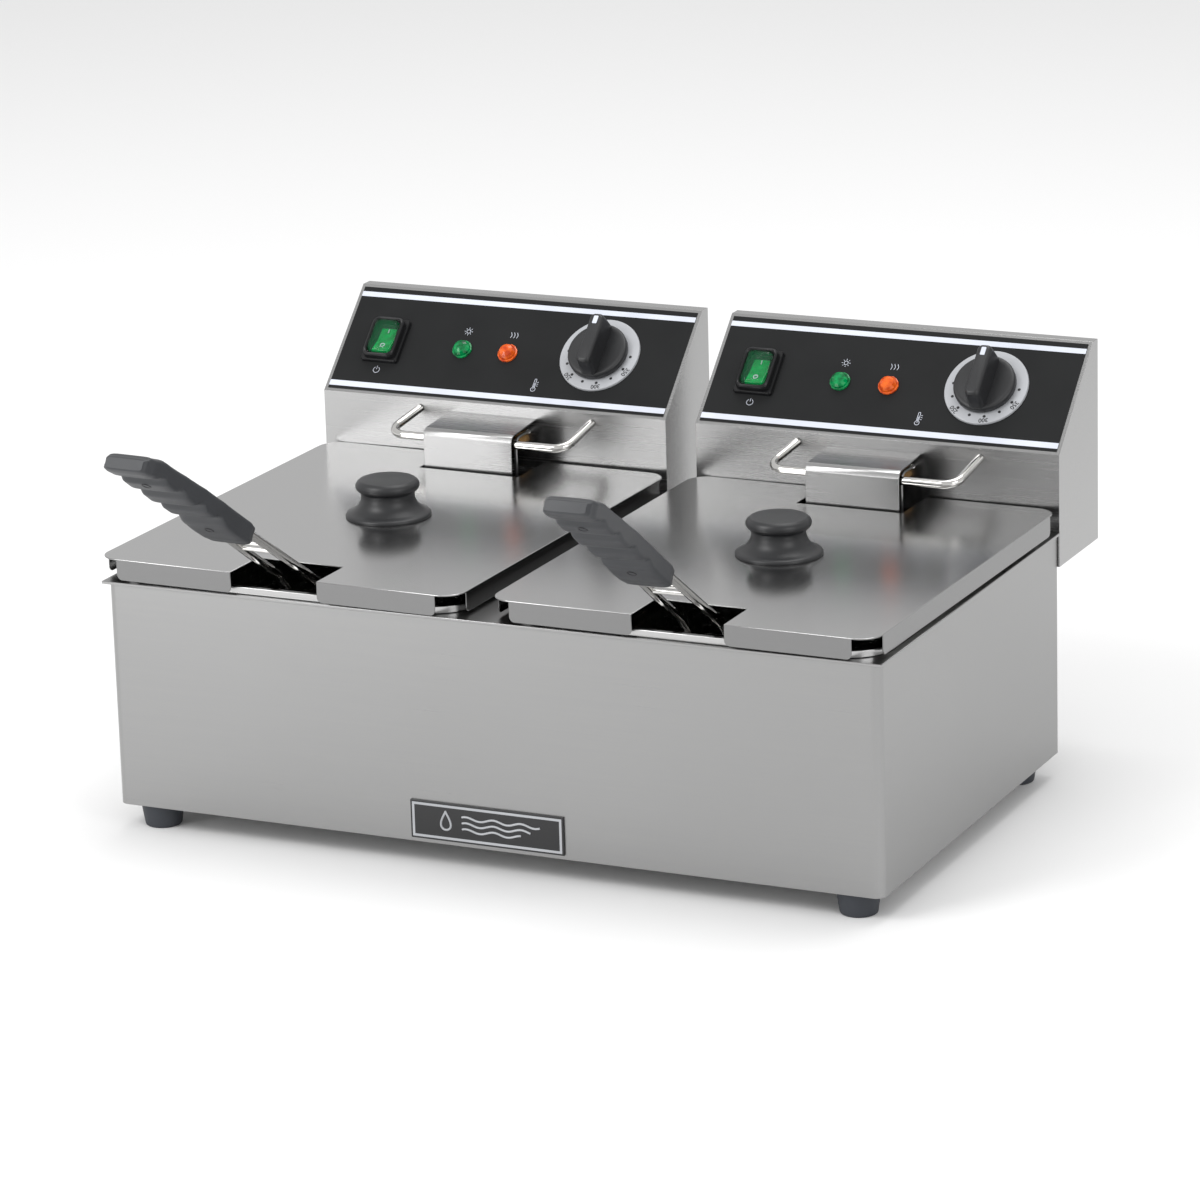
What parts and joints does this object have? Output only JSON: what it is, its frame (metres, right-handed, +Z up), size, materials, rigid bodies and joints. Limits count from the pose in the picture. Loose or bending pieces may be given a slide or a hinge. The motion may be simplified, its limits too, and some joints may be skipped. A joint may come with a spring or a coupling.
{
  "type": "deep fryer",
  "caption": "Countertop double deep fryer: steel case, lift-out pots, heating heads, wire baskets and loose lids.",
  "frame": {"origin": "middle of the whole object's footprint, at the bottom of the feet", "axes": "+X to the right, +Y to the back, +Z up"},
  "size_m": [0.5678, 0.5888, 0.3164],
  "materials": {
    "case_steel": "brushed",
    "pot_steel": "satin",
    "head_steel": "brushed",
    "lid_steel": "semi-mirror",
    "nameplate_plastic": "gloss black with a silver border",
    "foot_rubber": "matt",
    "zinc_screw": "zinc",
    "label_film": "printed film",
    "switch_plastic": "moulded",
    "rocker_green": "translucent",
    "clear_boot": "clear",
    "lens_green": "jewel lens",
    "lens_orange": "jewel lens",
    "dial_silver": "satin",
    "thermostat_metal": "plain",
    "knob_plastic": "moulded",
    "element_sheath": "oxidised",
    "brass_nut": "turned",
    "chrome_wire": "polished",
    "basket_wire": "polished",
    "terminal_plastic": "moulded",
    "reset_red": "moulded",
    "gland_plastic": "moulded",
    "grip_plastic": "moulded"
  },
  "bodies": {
    "case": {"case_shell": "case_steel", "back_panel": "case_steel", "bottom_plate": "case_steel", "top_deck": "case_steel", "nameplate": "nameplate_plastic", "rubber_feet": "foot_rubber", "foot_screws": "zinc_screw"},
    "pot_left": {"pot_left": "pot_steel"},
    "head_left": {"head_shell_left": "head_steel", "head_back_cover_left": "case_steel", "head_screws_left": "zinc_screw", "control_label_left": "label_film", "switch_housing_left": "switch_plastic", "switch_boot_left": "clear_boot", "pilot_light_green_left": "lens_green", "pilot_light_orange_left": "lens_orange", "dial_ring_left": "dial_silver", "thermostat_left": "thermostat_metal", "heating_element_left": "element_sheath", "element_cover_left": "head_steel", "gland_nuts_left": "brass_nut", "basket_hanger_left": "chrome_wire", "terminal_block_left": "terminal_plastic", "limit_cutout_left": "terminal_plastic", "cable_gland_left": "gland_plastic"},
    "basket_left": {"basket_mesh_left": "basket_wire", "basket_frame_left": "chrome_wire", "handle_grip_left": "grip_plastic"},
    "lid_left": {"lid_plate_left": "lid_steel", "lid_knob_left": "knob_plastic"},
    "dial_left": {"control_knob_left": "knob_plastic"},
    "rocker_left": {"switch_rocker_left": "rocker_green"},
    "reset_left": {"reset_button_left": "reset_red"},
    "pot_right": {"pot_right": "pot_steel"},
    "head_right": {"head_shell_right": "head_steel", "head_back_cover_right": "case_steel", "head_screws_right": "zinc_screw", "control_label_right": "label_film", "switch_housing_right": "switch_plastic", "switch_boot_right": "clear_boot", "pilot_light_green_right": "lens_green", "pilot_light_orange_right": "lens_orange", "dial_ring_right": "dial_silver", "thermostat_right": "thermostat_metal", "heating_element_right": "element_sheath", "element_cover_right": "head_steel", "gland_nuts_right": "brass_nut", "basket_hanger_right": "chrome_wire", "terminal_block_right": "terminal_plastic", "limit_cutout_right": "terminal_plastic", "cable_gland_right": "gland_plastic"},
    "basket_right": {"basket_mesh_right": "basket_wire", "basket_frame_right": "chrome_wire", "handle_grip_right": "grip_plastic"},
    "lid_right": {"lid_plate_right": "lid_steel", "lid_knob_right": "knob_plastic"},
    "dial_right": {"control_knob_right": "knob_plastic"},
    "rocker_right": {"switch_rocker_right": "rocker_green"},
    "reset_right": {"reset_button_right": "reset_red"}
  },
  "joints": [
    {"name": "pot_lift_left", "type": "slide", "parent": "case", "child": "pot_left", "axis": [0, 0, 1], "range_m": [0, 0.2]},
    {"name": "head_lift_left", "type": "slide", "parent": "pot_left", "child": "head_left", "axis": [0, 0, 1], "range_m": [0, 0.22]},
    {"name": "lid_tip_left", "type": "hinge", "parent": "head_left", "child": "lid_left", "pos_m": [-0.1465, 0.2072, 0.246], "axis": [-1, 0, 0], "range_deg": [0, 90]},
    {"name": "basket_lift_left", "type": "slide", "parent": "head_left", "child": "basket_left", "axis": [0, 0, 1], "range_m": [0, 0.149]},
    {"name": "dial_turn_left", "type": "hinge", "parent": "head_left", "child": "dial_left", "pos_m": [-0.077, 0.23548, 0.26919], "axis": [0, 0.6857, -0.7279], "range_deg": [0, 270]},
    {"name": "rocker_press_left", "type": "hinge", "parent": "head_left", "child": "rocker_left", "pos_m": [-0.2461, 0.24207, 0.25754], "axis": [1, 0, 0], "range_deg": [0, 18]},
    {"name": "reset_press_left", "type": "slide", "parent": "head_left", "child": "reset_left", "axis": [0, -1, 0], "range_m": [0, 0.002], "stiffness_N_per_m": 600, "springref_m": -0.001},
    {"name": "pot_lift_right", "type": "slide", "parent": "case", "child": "pot_right", "axis": [0, 0, 1], "range_m": [0, 0.2]},
    {"name": "head_lift_right", "type": "slide", "parent": "pot_right", "child": "head_right", "axis": [0, 0, 1], "range_m": [0, 0.22]},
    {"name": "lid_tip_right", "type": "hinge", "parent": "head_right", "child": "lid_right", "pos_m": [0.1465, 0.2072, 0.246], "axis": [-1, 0, 0], "range_deg": [0, 90]},
    {"name": "basket_lift_right", "type": "slide", "parent": "head_right", "child": "basket_right", "axis": [0, 0, 1], "range_m": [0, 0.149]},
    {"name": "dial_turn_right", "type": "hinge", "parent": "head_right", "child": "dial_right", "pos_m": [0.216, 0.23548, 0.26919], "axis": [0, 0.6857, -0.7279], "range_deg": [0, 270]},
    {"name": "rocker_press_right", "type": "hinge", "parent": "head_right", "child": "rocker_right", "pos_m": [0.0469, 0.24207, 0.25754], "axis": [1, 0, 0], "range_deg": [0, 18]},
    {"name": "reset_press_right", "type": "slide", "parent": "head_right", "child": "reset_right", "axis": [0, -1, 0], "range_m": [0, 0.002], "stiffness_N_per_m": 600, "springref_m": -0.001}
  ],
  "couplings": [
    {"joint": "basket_lift_left", "follows": "lid_tip_left", "m_per_rad": 0.0945},
    {"joint": "basket_lift_right", "follows": "lid_tip_right", "m_per_rad": 0.0945}
  ]
}
